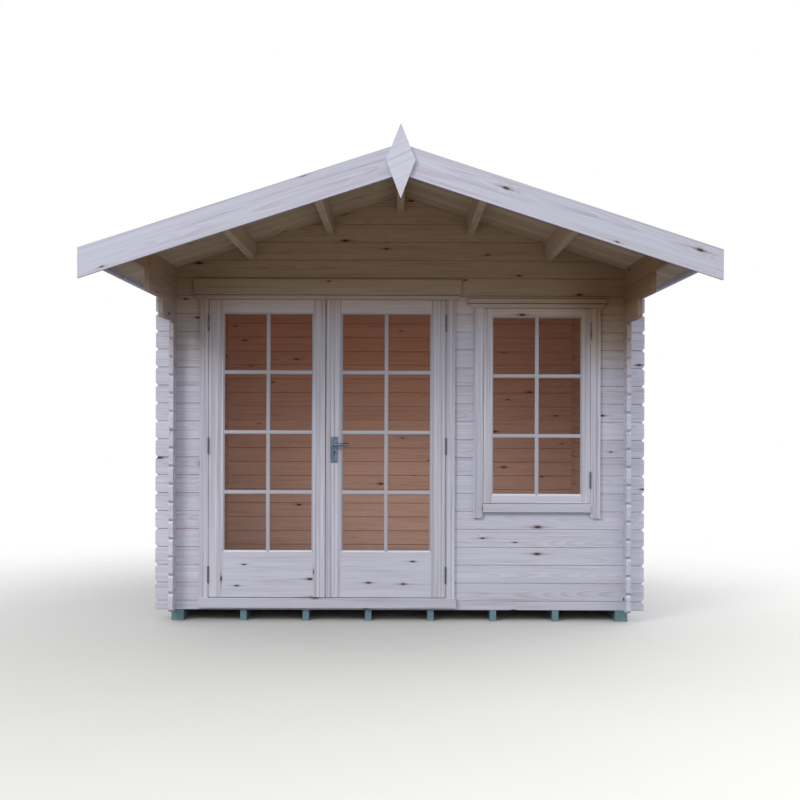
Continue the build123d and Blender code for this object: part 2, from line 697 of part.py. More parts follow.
def handle_plate(front):
    """One plate, with a hole for the spindle, under the lever's neck, and one for the lock."""
    low = LEVER_LINE - PLATE_BELOW_LEVER
    back = front + PLATE_THICKNESS
    half = PLATE_WIDTH / 2
    plate = block(HANDLE_LINE - half, HANDLE_LINE + half, front, back, low, low + PLATE_HEIGHT)
    plate = chamfer(plate.edges().filter_by(Axis.Y), PLATE_EDGE)
    return plate - square_bar(2 * SPINDLE_REACH, 2 * SPINDLE_REACH, LEVER_LINE, front, back) - square_bar(
        KEYHOLE_WIDTH, KEYHOLE_HEIGHT, LEVER_LINE - KEYHOLE_DROP, front, back)


def handle_plates():
    return joined(handle_plate(FRAME_FRONT - PLATE_THICKNESS), handle_plate(LEAF_BACK))


def lever_arm(face, out):
    """A neck out of the plate and a grip along X, on the side that out points to."""
    plate_face = face + out * (PLATE_THICKNESS + SEAT)
    far = face + out * LEVER_REACH
    near = far - out * LEVER_THICKNESS
    neck = tube_along_y(NECK_RADIUS, HANDLE_LINE, LEVER_LINE, *sorted((plate_face, near)))
    half = LEVER_WIDTH / 2
    start = HANDLE_LINE - half
    front, back = sorted((near, far))
    grip = block(start, start + LEVER_LENGTH, front, back, LEVER_LINE - half, LEVER_LINE + half)
    return neck + chamfer(grip.edges().filter_by(Axis.X), LEVER_EDGE)


def lever():
    """Outer and inner lever on one square spindle, which passes through the stile."""
    reach = PLATE_THICKNESS + SEAT
    spindle = square_bar(SPINDLE_SIDE, SPINDLE_SIDE, LEVER_LINE, FRAME_FRONT - reach, LEAF_BACK + reach)
    return lever_arm(FRAME_FRONT, -1) + spindle + lever_arm(LEAF_BACK, 1)


def door_leaves():
    left = leaf(
        "left_door", LEFT_LEAF_START, LEFT_LEAF_END, LEAF_BOTTOM, LEAF_TOP, LEAF_THICKNESS,
        (OUTER_STILE, LEFT_MEETING_STILE), (BOTTOM_RAIL, TOP_RAIL), DOOR_PANE_ROWS)
    right = leaf(
        "right_door", RIGHT_LEAF_START, RIGHT_LEAF_END, LEAF_BOTTOM, LEAF_TOP, LEAF_THICKNESS,
        (RIGHT_MEETING_STILE, OUTER_STILE), (BOTTOM_RAIL, TOP_RAIL), DOOR_PANE_ROWS)
    bore = tube_along_y(SPINDLE_REACH, HANDLE_LINE, LEVER_LINE, FRAME_FRONT, LEAF_BACK)
    right["right_door_stiles"] = joined(*[stile - bore for stile in right["right_door_stiles"].solids()])
    strip_start = LEFT_LEAF_END - MEETING_STRIP_WIDTH
    return left | right | {
        "left_door_strip": meeting_strip(strip_start, MEETING_STRIP_WIDTH, MEETING_STRIP_THICKNESS),
        "right_door_astragal": meeting_strip(RIGHT_LEAF_START, ASTRAGAL_WIDTH, ASTRAGAL_THICKNESS),
        "left_door_hinges": knuckles(LEFT_HINGE, 1, DOOR_HINGES, True),
        "right_door_hinges": knuckles(RIGHT_HINGE, -1, DOOR_HINGES, True),
        "handle_plates": handle_plates(),
        "lever": lever(),
    }


def window_sash():
    return leaf(
        "window", SASH_START, SASH_END, SASH_BOTTOM, SASH_TOP, SASH_THICKNESS,
        (SASH_STILE, SASH_STILE), (SASH_RAIL, SASH_RAIL), WINDOW_PANE_ROWS)


def frame_hinges():
    """The hinge halves on the door jambs, and the window's hinges, each as one barrel."""
    window_line = SASH_END + SASH_GAP / 2
    half = HINGE_HEIGHT / 2
    return joined(
        knuckles(LEFT_HINGE, -1, DOOR_HINGES, False),
        knuckles(RIGHT_HINGE, 1, DOOR_HINGES, False),
        *[knuckle(window_line, 1, middle - half, middle + half) for middle in WINDOW_HINGES])


def main():
    os.makedirs("parts", exist_ok=True)
    room = roof_room()
    right_wall = side_wall(room)
    upper_logs = full_logs(OPENING_COURSES + 1, SIDE_COURSES - 1) + gable(room)
    boards = roof_layer(0.0, BOARD_RISE, HALF_ROOF - EAVES_TRIM_THICKNESS)
    felt = roof_layer(BOARD_RISE, FELT_RISE, HALF_ROOF)
    nodes = {
        "bearers": bearers(),
        "floor": floor(),
        "right_wall": joined(right_wall),
        "left_wall": joined(mirrored(right_wall)),
        "roof_boards_right": boards,
        "roof_boards_left": mirrored(boards),
        "roof_felt": joined(felt, mirrored(felt)),
        "eaves_trims": eaves_trims(),
        "front_fascia": fascia(FASCIA_FRONT),
        "back_fascia": fascia(FASCIA_BACK - FASCIA_THICKNESS),
        "finial": finial(),
        "head_boards": head_boards(),
        "back_wall": back_wall(upper_logs),
    }
    nodes.update(front_wall(upper_logs))
    nodes.update(purlins())
    nodes.update(door_frame())
    nodes.update(window_frame())
    nodes.update(door_leaves())
    nodes.update(window_sash())
    nodes["frame_hinges"] = frame_hinges()
    for name, shape in nodes.items():
        export_step(shape, f"parts/{name}.step")


main()
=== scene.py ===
import math

import bmesh
import bpy
from mathutils import Matrix, Vector


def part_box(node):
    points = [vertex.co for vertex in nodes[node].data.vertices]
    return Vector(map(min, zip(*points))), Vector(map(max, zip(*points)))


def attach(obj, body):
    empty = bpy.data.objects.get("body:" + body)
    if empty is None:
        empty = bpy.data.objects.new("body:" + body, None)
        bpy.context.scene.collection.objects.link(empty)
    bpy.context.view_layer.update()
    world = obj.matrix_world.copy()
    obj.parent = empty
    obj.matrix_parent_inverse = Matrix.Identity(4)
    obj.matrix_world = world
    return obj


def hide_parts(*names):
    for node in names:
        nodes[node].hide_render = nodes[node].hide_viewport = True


# A garden log cabin: its camera and light, the finishes of its wood, metal, felt and glass, and
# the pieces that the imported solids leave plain. Lengths are in metres, in the row frame.

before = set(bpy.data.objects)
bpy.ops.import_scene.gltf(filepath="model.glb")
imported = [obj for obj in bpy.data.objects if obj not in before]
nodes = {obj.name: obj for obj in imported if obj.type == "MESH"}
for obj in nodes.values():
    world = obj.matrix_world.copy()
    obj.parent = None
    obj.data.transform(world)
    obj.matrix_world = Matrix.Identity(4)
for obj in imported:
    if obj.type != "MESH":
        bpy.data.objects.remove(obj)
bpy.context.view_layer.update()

# Sizes shared by the pieces and the finishes

PITCH = math.radians(18)
COURSE = 0.115
FRONT_JOINT = 0.1275
SIDE_JOINT = 0.070
FRONT_INSIDE = -0.5335
BACK_INSIDE = 1.6085
SIDE_INSIDE, SIDE_LOG_MIDDLE, SIDE_OUTSIDE = 1.433, 1.447, 1.4605
WALLS_MIDDLE, WALLS_HALF_DEPTH = 0.5375, 1.085
ROOF_BOARD = 0.0952
FLOOR_BOARD = 0.1127
FELT_WIDTH = 0.93
KNOT_STRETCH = 0.45
RINGS_PER_METRE = 150.0
DOOR_BOARD_STEP, MOULDING_STEP, MOULDING_TOP = 2.0858, 2.0352, 2.0680


def linear(red, green, blue):
    """A colour as a shader takes it, from its 0 to 255 screen values."""
    def one(value):
        value /= 255
        return value / 12.92 if value <= 0.04045 else ((value + 0.055) / 1.055) ** 2.4
    return one(red), one(green), one(blue), 1.0


# Short ways to write a finish

class Finish:
    """The node tree of one finish."""

    def __init__(self, name):
        self.material = bpy.data.materials.new(name)
        self.material.use_nodes = True
        self.tree = self.material.node_tree
        self.tree.nodes.clear()
        self.place = self.node("ShaderNodeTexCoord").outputs["Object"]

    def node(self, kind, **settings):
        made = self.tree.nodes.new(kind)
        for name, value in settings.items():
            setattr(made, name, value)
        return made

    def feed(self, socket, value):
        if isinstance(value, bpy.types.NodeSocket):
            self.tree.links.new(value, socket)
        else:
            socket.default_value = value

    def math(self, operation, first, second=0.0, clamp=False):
        made = self.node("ShaderNodeMath", operation=operation, use_clamp=clamp)
        for socket, value in zip(made.inputs, (first, second)):
            self.feed(socket, value)
        return made.outputs[0]

    def split(self, vector):
        made = self.node("ShaderNodeSeparateXYZ")
        self.feed(made.inputs[0], vector)
        return made.outputs[0], made.outputs[1], made.outputs[2]

    def vector(self, x, y, z):
        made = self.node("ShaderNodeCombineXYZ")
        for socket, value in zip(made.inputs, (x, y, z)):
            self.feed(socket, value)
        return made.outputs[0]

    def noise(self, x, y, z, scale=1.0, detail=2.0, roughness=0.5):
        made = self.node("ShaderNodeTexNoise", noise_dimensions="3D")
        self.feed(made.inputs["Vector"], self.vector(x, y, z))
        for name, value in (("Scale", scale), ("Detail", detail), ("Roughness", roughness)):
            made.inputs[name].default_value = value
        return made.outputs[0]

    def chance(self, number, turn=0.0):
        """A random value from 0 to 1 for each whole number."""
        made = self.node("ShaderNodeTexWhiteNoise", noise_dimensions="2D")
        self.feed(made.inputs["Vector"], self.vector(number, turn, 0.0))
        return made.outputs["Value"]

    def between(self, value, low, high, start=0.0, end=1.0):
        """Runs smoothly from start to end while value goes from low to high."""
        made = self.node("ShaderNodeMapRange", interpolation_type="SMOOTHSTEP")
        for socket, given in zip(made.inputs, (value, low, high, start, end)):
            self.feed(socket, given)
        return made.outputs[0]

    def mix(self, amount, first, second, blend="MIX"):
        made = self.node("ShaderNodeMix", data_type="RGBA", blend_type=blend)
        self.feed(made.inputs[0], amount)
        self.feed(made.inputs[6], first)
        self.feed(made.inputs[7], second)
        return made.outputs[2]

    def tint(self, colour, red, green, blue):
        """The colour seen through another one, given in screen values."""
        return self.mix(1.0, colour, linear(red, green, blue), "MULTIPLY")

    def scaled(self, colour, amount):
        """The colour made lighter or darker by the same amount in red, green and blue."""
        return self.mix(1.0, colour, self.vector(amount, amount, amount), "MULTIPLY")

    def bump(self, height, depth, strength):
        made = self.node("ShaderNodeBump")
        made.inputs["Strength"].default_value = strength
        made.inputs["Distance"].default_value = depth
        self.feed(made.inputs["Height"], height)
        return made.outputs[0]

    def surface(self, **sockets):
        """A Principled shader on the output, its sockets named with _ for a space."""
        shader = self.node("ShaderNodeBsdfPrincipled")
        for name, value in sockets.items():
            self.feed(shader.inputs[name.replace("_", " ")], value)
        output = self.node("ShaderNodeOutputMaterial")
        self.tree.links.new(shader.outputs[0], output.inputs["Surface"])
        return self.material


# Wood

def grain_axes(finish, run):
    """Distance along the grain, two distances across it, and which side of the ridge it is on."""
    x, y, z = finish.split(finish.place)
    if run == "across":
        return x, z, y, 0.0
    if run == "deep":
        return y, z, x, finish.math("SIGN", x)
    if run == "up":
        return z, x, y, 0.0
    if run == "slant":
        along = finish.math("ADD", finish.math("MULTIPLY", x, 0.9), finish.math("MULTIPLY", z, 0.43))
        over = finish.math("SUBTRACT", finish.math("MULTIPLY", z, 0.9), finish.math("MULTIPLY", x, 0.43))
        return along, over, y, 0.0
    side = finish.math("SIGN", x)
    out = finish.math("ABSOLUTE", x)
    along = finish.math("SUBTRACT", finish.math("MULTIPLY", out, math.cos(PITCH)),
                        finish.math("MULTIPLY", z, math.sin(PITCH)))
    over = finish.math("ADD", finish.math("MULTIPLY", out, math.sin(PITCH)),
                       finish.math("MULTIPLY", z, math.cos(PITCH)))
    if run == "slope":
        return along, over, y, side
    return along, y, over, side


def front_wall_heart(finish):
    """How deep a point lies in a log of the front or back wall."""
    y = finish.split(finish.place)[1]
    return finish.math("SUBTRACT", finish.math("ABSOLUTE", finish.math("SUBTRACT", y, WALLS_MIDDLE)), WALLS_HALF_DEPTH)


def side_wall_heart(finish):
    """How deep a point lies in a log of a side wall."""
    x = finish.split(finish.place)[0]
    return finish.math("SUBTRACT", finish.math("ABSOLUTE", x), SIDE_LOG_MIDDLE)


def oval(finish, du, dv, long, wide, full, none):
    """1 in the middle of an oval along the grain and 0 outside it."""
    a, b = finish.math("DIVIDE", du, long), finish.math("DIVIDE", dv, wide)
    far = finish.math("SQRT", finish.math("ADD", finish.math("MULTIPLY", a, a), finish.math("MULTIPLY", b, b)))
    return finish.between(far, full, none, 1.0, 0.0)


def wood(name, run, pale, brown, piece=None, start=0.0, knots=0.5, grain=0.5, knot_brown=(70, 46, 44),
         streak=(214, 188, 186), tone=0.05, streaks=0.035, dress=None, heart=None):
    """A planed wood. Run says which way the grain goes, piece is the width of one board and start
    the place of an edge. Dress changes the finished colour before it goes on the shader."""
    finish = Finish(name)
    u, v, w, side = grain_axes(finish, run)
    if piece:
        place = finish.math("DIVIDE", finish.math("SUBTRACT", v, start), piece)
        number = finish.math("FLOOR", place)
        middle = finish.math("MULTIPLY", finish.math("SUBTRACT", finish.math("FRACT", place), 0.5), piece)
    else:
        number, middle = finish.math("FLOOR", finish.math("MULTIPLY", v, 2.0)), v
    number = finish.math("ADD", number, finish.math("MULTIPLY", side, 57.0))
    luck, more_luck = finish.chance(number, 1.0), finish.chance(number, 2.0)
    u = finish.math("ADD", u, finish.math("MULTIPLY", luck, 40.0))

    # Knots are long ovals with a reddish tail along the grain, which bends the rings round them
    spots = finish.node("ShaderNodeTexVoronoi", voronoi_dimensions="2D", feature="F1")
    finish.feed(spots.inputs["Vector"], finish.vector(finish.math("MULTIPLY", u, KNOT_STRETCH), v, 0.0))
    spots.inputs["Scale"].default_value = 6.5
    spot_u, spot_v, _ = finish.split(spots.outputs["Position"])
    chance, size, _ = finish.split(spots.outputs["Color"])
    real = finish.math("GREATER_THAN", chance, 1.0 - knots)
    growth = finish.between(size, 0.0, 1.0, 1.7, 0.75)
    du = finish.math("MULTIPLY", finish.math("SUBTRACT", u, finish.math("DIVIDE", spot_u, KNOT_STRETCH)), growth)
    dv = finish.math("MULTIPLY", finish.math("SUBTRACT", v, spot_v), growth)
    core = finish.math("MULTIPLY", oval(finish, du, dv, 0.019, 0.0074, 0.55, 1.15), real)
    halo = finish.math("MULTIPLY", oval(finish, du, dv, 0.040, 0.013, 0.4, 1.2), real)
    tail = finish.math("MULTIPLY", oval(finish, du, dv, 0.13, 0.008, 0.1, 1.0), real)
    bend = finish.math("MULTIPLY", oval(finish, du, dv, 0.09, 0.035, 0.0, 1.0), real)

    # Growth rings, cut into long arcs where the board runs out of the round of the tree
    sway = finish.noise(finish.math("MULTIPLY", u, 0.9), finish.math("MULTIPLY", v, 2.5), w, 1.0, 2.0)
    depth = finish.between(finish.noise(finish.math("MULTIPLY", u, 0.55), luck, 3.0, 1.0, 1.0),
                           0.25, 0.75, 0.02, 0.085)
    if heart:
        depth = finish.math("ADD", depth, heart(finish))
    centre = finish.math("ADD", finish.math("MULTIPLY", finish.math("SUBTRACT", more_luck, 0.5), 0.07),
                         finish.math("MULTIPLY", finish.math("SUBTRACT", sway, 0.5), 0.09))
    offset = finish.math("ADD", middle, centre)
    reach = finish.math("SQRT", finish.math("ADD", finish.math("MULTIPLY", offset, offset),
                                            finish.math("MULTIPLY", depth, depth)))
    reach = finish.math("ADD", reach, finish.math("MULTIPLY", bend, 0.014))
    rings = finish.math("FRACT", finish.math("MULTIPLY", reach, RINGS_PER_METRE))
    late = finish.math("MULTIPLY", finish.between(rings, 0.25, 0.88),
                       finish.between(rings, 0.9, 1.0, 1.0, 0.0))
    fibre = finish.noise(finish.math("MULTIPLY", u, 4.0), finish.math("MULTIPLY", v, 260.0),
                         finish.math("MULTIPLY", w, 260.0), 1.0, 3.0, 0.6)
    patch = finish.noise(finish.math("MULTIPLY", u, 1.0), finish.math("MULTIPLY", v, 14.0),
                         finish.math("MULTIPLY", w, 14.0), 1.0, 3.0, 0.6)
    flush = finish.noise(finish.math("MULTIPLY", u, 1.4), finish.math("MULTIPLY", v, 48.0),
                         finish.math("MULTIPLY", w, 48.0), 1.0, 3.0, 0.6)

    darker = finish.math("ADD", finish.math("MULTIPLY", late, grain * 0.55),
                         finish.math("MULTIPLY", finish.between(fibre, 0.42, 0.72), grain * 0.4))
    darker = finish.math("MULTIPLY", darker, finish.between(patch, 0.3, 0.72, 0.3, 1.3), clamp=True)
    colour = finish.mix(darker, pale, brown)
    pink = finish.math("ADD", finish.between(flush, 0.5, 0.7, 0.0, 0.35), finish.math("MULTIPLY", tail, 0.6),
                       clamp=True)
    colour = finish.mix(pink, colour, finish.tint(colour, *streak))
    colour = finish.mix(finish.math("MULTIPLY", halo, 0.45), colour, linear(*[(v + 150) // 2 for v in knot_brown]))
    colour = finish.mix(finish.math("MULTIPLY", core, 0.92), colour, linear(*knot_brown))
    shade = finish.between(luck, 0.0, 1.0, 1.0 - tone, 1.0 + tone)
    stripe = finish.noise(finish.math("MULTIPLY", u, 0.5), finish.math("MULTIPLY", v, 60.0),
                          finish.math("MULTIPLY", w, 60.0), 1.0, 2.0, 0.6)
    shade = finish.math("MULTIPLY", shade, finish.between(stripe, 0.3, 0.7, 1.0 - streaks, 1.0 + streaks))
    colour = finish.scaled(colour, shade)
    height = finish.math("SUBTRACT", finish.math("MULTIPLY", fibre, 0.5), finish.math("MULTIPLY", late, 0.35))
    if dress:
        colour, height = dress(finish, colour, height)
    return finish.surface(
        Base_Color=colour,
        Roughness=finish.between(fibre, 0.25, 0.75, 0.58, 0.78),
        Normal=finish.bump(height, 0.0006, 0.45),
        Specular_IOR_Level=0.3,
    )


def joint_line(finish, first, half_width, soft):
    """1 on the joints between courses, the first of which is at the height first."""
    z = finish.split(finish.place)[2]
    place = finish.math("DIVIDE", finish.math("SUBTRACT", z, first - COURSE / 2), COURSE)
    off = finish.math("ABSOLUTE", finish.math("SUBTRACT", finish.math("FRACT", place), 0.5))
    off = finish.math("MULTIPLY", off, COURSE)
    return finish.between(off, half_width, half_width + soft, 1.0, 0.0)


def inside(finish):
    """1 on what faces the room, and 0 outside."""
    x, y, _ = finish.split(finish.place)
    walls = finish.math("LESS_THAN", finish.math("ABSOLUTE", x), SIDE_INSIDE + 0.001)
    front = finish.math("GREATER_THAN", y, FRONT_INSIDE - 0.001)
    back = finish.math("LESS_THAN", y, BACK_INSIDE + 0.001)
    return finish.math("MULTIPLY", walls, finish.math("MULTIPLY", front, back))


def painted_roof_shade(finish, colour):
    """Painted shade of the roof on the front: warmer the higher the wood is, a band a fifth darker from 2.0 to 2.5 m
    up, and darker, warmer wood near the side walls.
    """
    x, y, z = finish.split(finish.place)
    out = finish.math("ABSOLUTE", x)
    front = finish.math("MULTIPLY", finish.math("LESS_THAN", out, SIDE_OUTSIDE), finish.math("LESS_THAN", y, 0.0))
    lifted = finish.math("ADD", z, finish.between(x, 0.3, 1.0, 0.0, 0.08))
    # Painted shade: warmer with height under the front overhang, starting a little lower on the right.
    high = finish.math("MULTIPLY", finish.between(lifted, 1.80, 2.22), front)
    colour = finish.mix(high, colour, finish.tint(colour, 242, 207, 160))
    # Painted shade: a band up to a fifth darker from 2.0 to 2.5 m up on the front.
    painted_eaves_shade = finish.math("MULTIPLY", finish.between(z, 2.0, 2.12), finish.between(z, 2.36, 2.52, 0.2, 0.0))
    painted_dimming = finish.math("SUBTRACT", 1.0, finish.math("MULTIPLY", painted_eaves_shade, front))
    colour = finish.scaled(colour, painted_dimming)
    # Painted shade: darker, warmer wood near the side walls from 1.5 m up, weaker on the left and towards the eaves.
    corner = finish.math("MULTIPLY", finish.between(out, 0.95, 1.3), finish.between(z, 1.5, 1.85))
    corner = finish.math("MULTIPLY", corner, finish.between(x, -1.2, 1.2, 0.6, 1.0))
    corner = finish.math("MULTIPLY", corner, finish.math("MULTIPLY", finish.between(z, 2.0, 2.35, 0.85, 0.3), front))
    return finish.mix(corner, colour, finish.tint(colour, 205, 182, 150))


def log_dress(first):
    """Painted warm light on the wood in the room, with painted shade that makes it redder towards the top and darker
    away from the left wall; outside, the roof's painted shade, painted light on the log ends, reddish grooves and a
    fine line on every joint.
    """
    def dress(finish, colour, height):
        room = inside(finish)
        x, _, z = finish.split(finish.place)
        # Painted warm light in the room, redder towards the top in painted shade.
        painted_room_warmth = finish.tint(colour, 220, 184, 156)
        painted_room_warmth = finish.mix(finish.between(z, 0.3, 2.1), painted_room_warmth,
                          finish.tint(painted_room_warmth, 248, 214, 186))
        # Painted shade: the room's wood darker away from the left wall, above about 1 m.
        painted_dimming = finish.math("MULTIPLY", finish.between(x, -1.2, -0.5), finish.between(z, 0.8, 1.3, 0.0, 0.15))
        painted_dimming = finish.math("SUBTRACT", 1.0, painted_dimming)
        painted_room_warmth = finish.scaled(painted_room_warmth, painted_dimming)
        ends = finish.math("GREATER_THAN", finish.math("ABSOLUTE", x), SIDE_OUTSIDE)
        along = finish.math("SUBTRACT", 1.0, ends)
        fade = finish.math("MULTIPLY", finish.between(z, 1.55, 2.05, 1.0, 0.4), along)
        groove = finish.math("MULTIPLY", joint_line(finish, first, 0.0022, 0.0018),
                             finish.math("MULTIPLY", fade, 0.28))
        outside = finish.mix(groove, painted_roof_shade(finish, colour),
                             finish.tint(colour, 232, 180, 162))
        # Painted light: the log ends beyond the side walls lighter and bluer towards the right.
        bright = finish.mix(finish.between(x, -1.0, 1.0), (1.0, 0.99, 0.96, 1.0), (1.12, 1.13, 1.15, 1.0))
        outside = finish.mix(ends, outside, finish.mix(1.0, outside, bright, "MULTIPLY"))
        colour = finish.mix(room, outside, painted_room_warmth)
        strength = finish.math("ADD", finish.math("MULTIPLY", fade, 0.14), finish.math("MULTIPLY", ends, 0.85))
        outer = finish.math("MULTIPLY", joint_line(finish, first, 0.0003, 0.0012), strength)
        inner = finish.math("MULTIPLY", joint_line(finish, first, 0.0013, 0.0026), 0.9)
        line = finish.math("ADD", finish.math("MULTIPLY", outer, finish.math("SUBTRACT", 1.0, room)),
                           finish.math("MULTIPLY", inner, room))
        colour = finish.mix(line, colour, linear(120, 72, 58))
        return colour, finish.math("SUBTRACT", height, finish.math("MULTIPLY", line, 2.5))
    return dress


def frame_dress(finish, colour, height):
    """Frames and leaves, with the same painted shade of the roof as the logs round them."""
    return painted_roof_shade(finish, colour), height


def head_board_dress(finish, colour, height):
    """Shadowed lines under the step of the board over the doors and along the window's moulding."""
    x, _, z = finish.split(finish.place)
    window = finish.math("GREATER_THAN", x, 0.4)

    def mark(place, width, depth):
        off = finish.math("ABSOLUTE", finish.math("SUBTRACT", z, place))
        return finish.between(off, 0.3 * width, width, depth, 0.0)

    moulding = finish.math("ADD", mark(MOULDING_STEP, 0.0045, 0.9), mark(MOULDING_TOP, 0.0045, 0.8),
                           clamp=True)
    line = finish.math("ADD", finish.math("MULTIPLY", moulding, window),
                       finish.math("MULTIPLY", mark(DOOR_BOARD_STEP, 0.004, 0.75),
                                   finish.math("SUBTRACT", 1.0, window)))
    colour = painted_roof_shade(finish, colour)
    return finish.mix(line, colour, finish.tint(colour, 150, 128, 110)), height


def board_dress(finish, colour, height):
    """Redder in the room than under the open part of the roof, painted warm light like that on the logs in the room.
    """
    return finish.mix(inside(finish), colour, finish.tint(colour, 235, 196, 170)), height


PALE = linear(213, 215, 232)
BROWN = linear(172, 159, 164)
LEAF_PALE = linear(208, 209, 225)
BAR_PALE = linear(192, 192, 205)
# Warmer wood for the soffit boards and purlins: painted warm shade under the roof.
SHADED_PALE = linear(206, 184, 160)
SHADED_BROWN = linear(160, 128, 102)

logs_across = wood("front_and_back_logs", "across", PALE, BROWN, COURSE, FRONT_JOINT, 0.4,
                   dress=log_dress(FRONT_JOINT), heart=front_wall_heart)
logs_deep = wood("side_logs", "deep", PALE, BROWN, COURSE, SIDE_JOINT, 0.4,
                 dress=log_dress(SIDE_JOINT), heart=side_wall_heart)
roof_board_wood = wood("roof_board_wood", "board", SHADED_PALE, SHADED_BROWN, ROOF_BOARD, -1.7995, 0.35,
                       tone=0.1, dress=board_dress)
purlin_wood = wood("purlin_wood", "deep", SHADED_PALE, SHADED_BROWN, knots=0.25, dress=board_dress)
fascia_wood = wood("fascia_wood", "slope", linear(198, 200, 217), BROWN, 0.154, 2.458, knots=0.35)
head_board_wood = wood("head_board_wood", "across", LEAF_PALE, BROWN, knots=0.2, dress=head_board_dress)
finial_wood = wood("finial_wood", "slant", linear(207, 209, 225), BROWN, knots=0.25, grain=0.4)
trim_wood = wood("eaves_trim_wood", "deep", PALE, BROWN, knots=0.2)
upright_frame_wood = wood("upright_frame_wood", "up", LEAF_PALE, BROWN, knots=0.15, streaks=0.2,
                          dress=frame_dress)
level_frame_wood = wood("level_frame_wood", "across", LEAF_PALE, BROWN, knots=0.2, dress=frame_dress)
upright_leaf_wood = wood("upright_leaf_wood", "up", LEAF_PALE, BROWN, knots=0.25, streaks=0.2,
                         dress=frame_dress)
level_leaf_wood = wood("level_leaf_wood", "across", linear(216, 218, 235), BROWN, knots=0.6, dress=frame_dress)
upright_bar_wood = wood("upright_bar_wood", "up", BAR_PALE, BROWN, knots=0.0, grain=0.35, dress=frame_dress)
level_bar_wood = wood("level_bar_wood", "across", BAR_PALE, BROWN, knots=0.0, grain=0.35, dress=frame_dress)
# Painted highlight: the bead under each pane lighter than the bars.
bottom_bead_painted_highlight = wood("bottom_bead_painted_highlight", "across", linear(236, 237, 249), LEAF_PALE, knots=0.0, grain=0.3)
floor_wood = wood("floor_board_wood", "across", linear(200, 164, 138), linear(150, 104, 78), knots=0.25)
treated_wood = wood("treated_bearer_wood", "deep", linear(114, 144, 157), linear(74, 100, 108), knots=0.3,
                    knot_brown=(52, 66, 62), streak=(230, 235, 230))


def felt_finish():
    """Mineral felt: fine grit in greys and greens, worn thin in places."""
    finish = Finish("mineral_felt")
    x, y, z = finish.split(finish.place)
    grit = finish.noise(x, y, z, 900.0, 2.0, 0.7)
    patch = finish.noise(x, y, z, 3.0, 4.0, 0.6)
    colour = finish.mix(finish.between(grit, 0.35, 0.65), linear(66, 72, 70), linear(124, 130, 126))
    colour = finish.mix(finish.between(patch, 0.4, 0.75, 0.0, 0.4), colour, linear(88, 88, 82))
    return finish.surface(Base_Color=colour, Roughness=finish.between(grit, 0.3, 0.7, 0.82, 0.95),
                          Normal=finish.bump(grit, 0.001, 0.6), Specular_IOR_Level=0.3)


def glass_finish():
    """Clear float glass with a faint film of dust. Its face shows more where it is seen at a slant, after the Fresnel
    factor: the shader's own reflection, and painted reflection in its grey colour.
    """
    finish = Finish("window_pane")
    x, y, z = finish.split(finish.place)
    film = finish.noise(x, y, z, 7.0, 4.0, 0.6)
    slant = finish.node("ShaderNodeFresnel")
    slant.inputs["IOR"].default_value = 1.45
    # Painted reflection: the pane's grey face shows more at a slant, with a faint dust film on top.
    dust_and_painted_reflection = finish.math("ADD", finish.math("MULTIPLY", slant.outputs[0], 0.8),
                        finish.between(film, 0.35, 0.75, 0.0, 0.02), clamp=True)
    return finish.surface(Base_Color=finish.mix(film, linear(120, 126, 128), linear(150, 154, 154)),
                          Roughness=finish.between(film, 0.3, 0.8, 0.02, 0.08), IOR=1.45, Alpha=dust_and_painted_reflection)


def metal_finish(name, bright, dull, roughness):
    """A plated metal with fine brushing and a few duller patches."""
    finish = Finish(name)
    x, y, z = finish.split(finish.place)
    brushed = finish.noise(finish.math("MULTIPLY", x, 12.0), y, finish.math("MULTIPLY", z, 1.5), 60.0, 3.0, 0.6)
    patch = finish.noise(x, y, z, 45.0, 3.0, 0.6)
    colour = finish.mix(finish.between(patch, 0.35, 0.7), bright, dull)
    return finish.surface(Base_Color=colour, Metallic=0.85,
                          Roughness=finish.between(brushed, 0.3, 0.7, roughness - 0.07, roughness + 0.1),
                          Normal=finish.bump(brushed, 0.0002, 0.25))


felt = felt_finish()
glass = glass_finish()
hinge_zinc = metal_finish("hinge_zinc", linear(116, 126, 135), linear(88, 97, 107), 0.45)
handle_steel = metal_finish("handle_steel", linear(136, 152, 170), linear(102, 119, 138), 0.36)
lock_steel = metal_finish("lock_steel", linear(92, 96, 102), linear(62, 66, 72), 0.4)

FINISHES = {
    logs_across: ["back_wall", "front_gable", "front_wall_base", "front_wall_left", "front_wall_pier",
                  "front_wall_right"],
    logs_deep: ["left_wall", "right_wall"],
    roof_board_wood: ["roof_boards_left", "roof_boards_right"],
    purlin_wood: ["ridge_purlin", "side_purlins"],
    fascia_wood: ["front_fascia", "back_fascia"],
    finial_wood: ["finial"],
    trim_wood: ["eaves_trims"],
    upright_frame_wood: ["door_jambs", "window_jambs"],
    level_frame_wood: ["door_head", "door_threshold", "window_head", "window_sill"],
    head_board_wood: ["head_boards"],
    upright_leaf_wood: ["left_door_stiles", "left_door_strip", "right_door_stiles", "right_door_astragal",
                        "window_stiles"],
    level_leaf_wood: ["left_door_rails", "right_door_rails", "window_rails"],
    upright_bar_wood: ["left_door_glazing_bars", "right_door_glazing_bars", "window_glazing_bars"],
    floor_wood: ["floor"],
    treated_wood: ["bearers"],
    felt: ["roof_felt"],
    glass: ["left_door_glass", "right_door_glass", "window_glass"],
    hinge_zinc: ["frame_hinges", "left_door_hinges", "right_door_hinges"],
    handle_steel: ["handle_plates", "lever"],
}


def dress_nodes():
    """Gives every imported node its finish."""
    for finish, names in FINISHES.items():
        for name in names:
            shape = nodes[name].data
            shape.materials.clear()
            shape.materials.append(finish)


# New pieces

